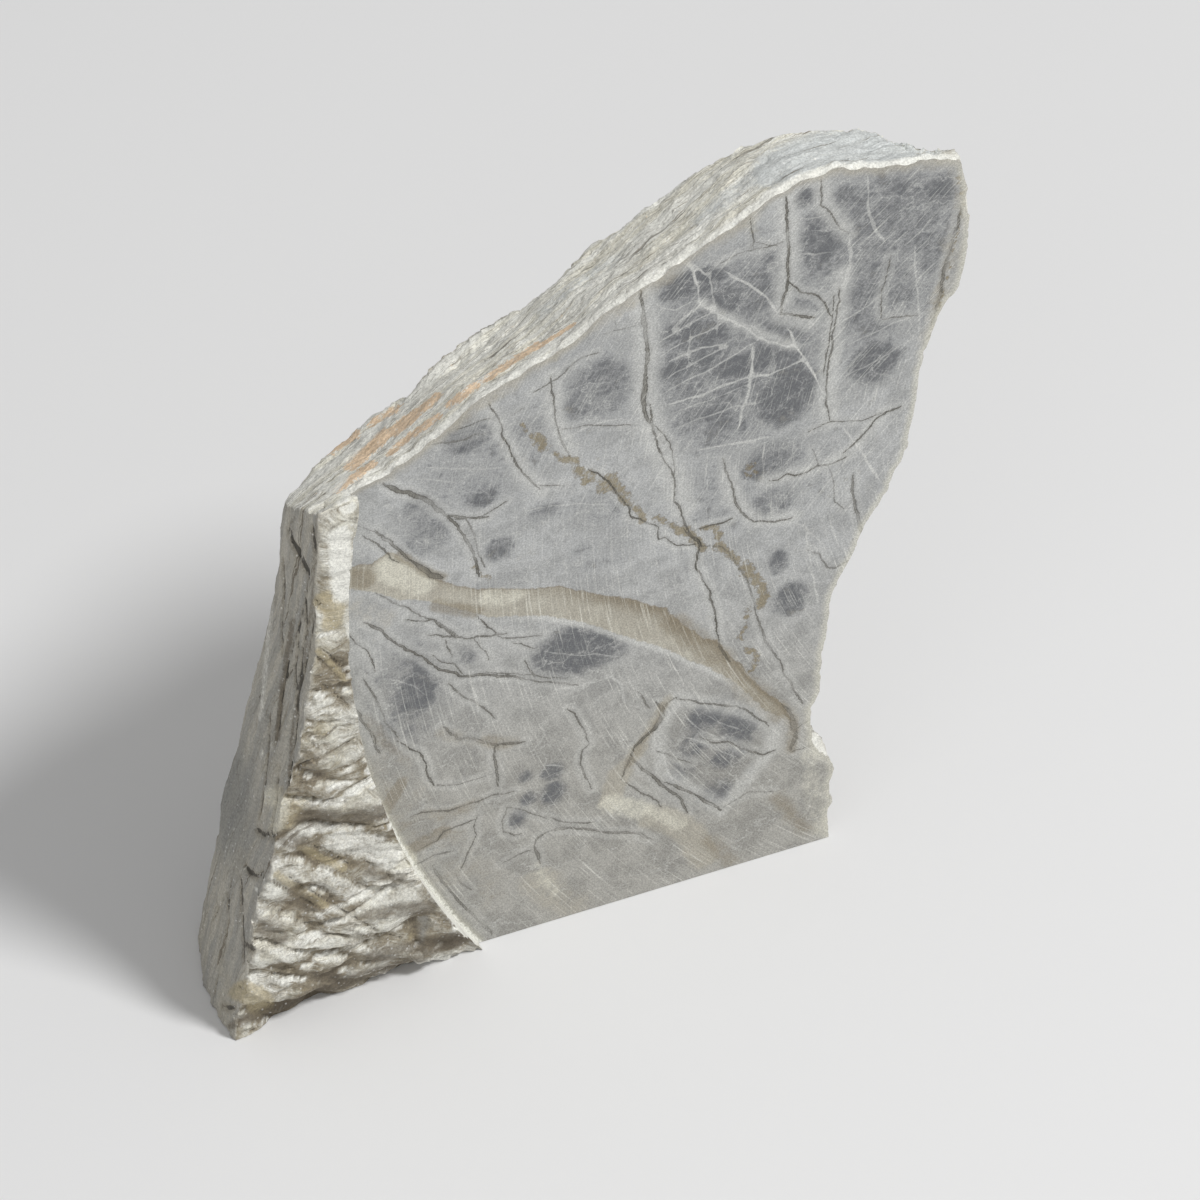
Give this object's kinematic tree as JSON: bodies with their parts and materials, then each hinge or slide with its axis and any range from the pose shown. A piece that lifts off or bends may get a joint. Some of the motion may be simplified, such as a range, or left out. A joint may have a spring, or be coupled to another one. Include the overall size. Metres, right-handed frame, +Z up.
{
  "type": "alabaster rock",
  "caption": "Wedge-shaped slab of raw grey veined alabaster that stands on a flat foot, with a flat sawn front, an uncut ledge behind a saw arc and rough natural sides.",
  "frame": {"origin": "middle of the stone's outline box, on the ground under its flat foot", "axes": "+Z up, +X to the right along the sawn front, +Y from the sawn front to the back"},
  "size_m": [0.2462, 0.0866, 0.2869],
  "materials": {
    "alabaster": "fine matt sawn front with darker cracks, pale veins and a buff band, rough sugary white ledge, weathered warm grey side, layered cream top"
  },
  "bodies": {
    "root": {"alabaster_rock": "alabaster"}
  },
  "joints": []
}
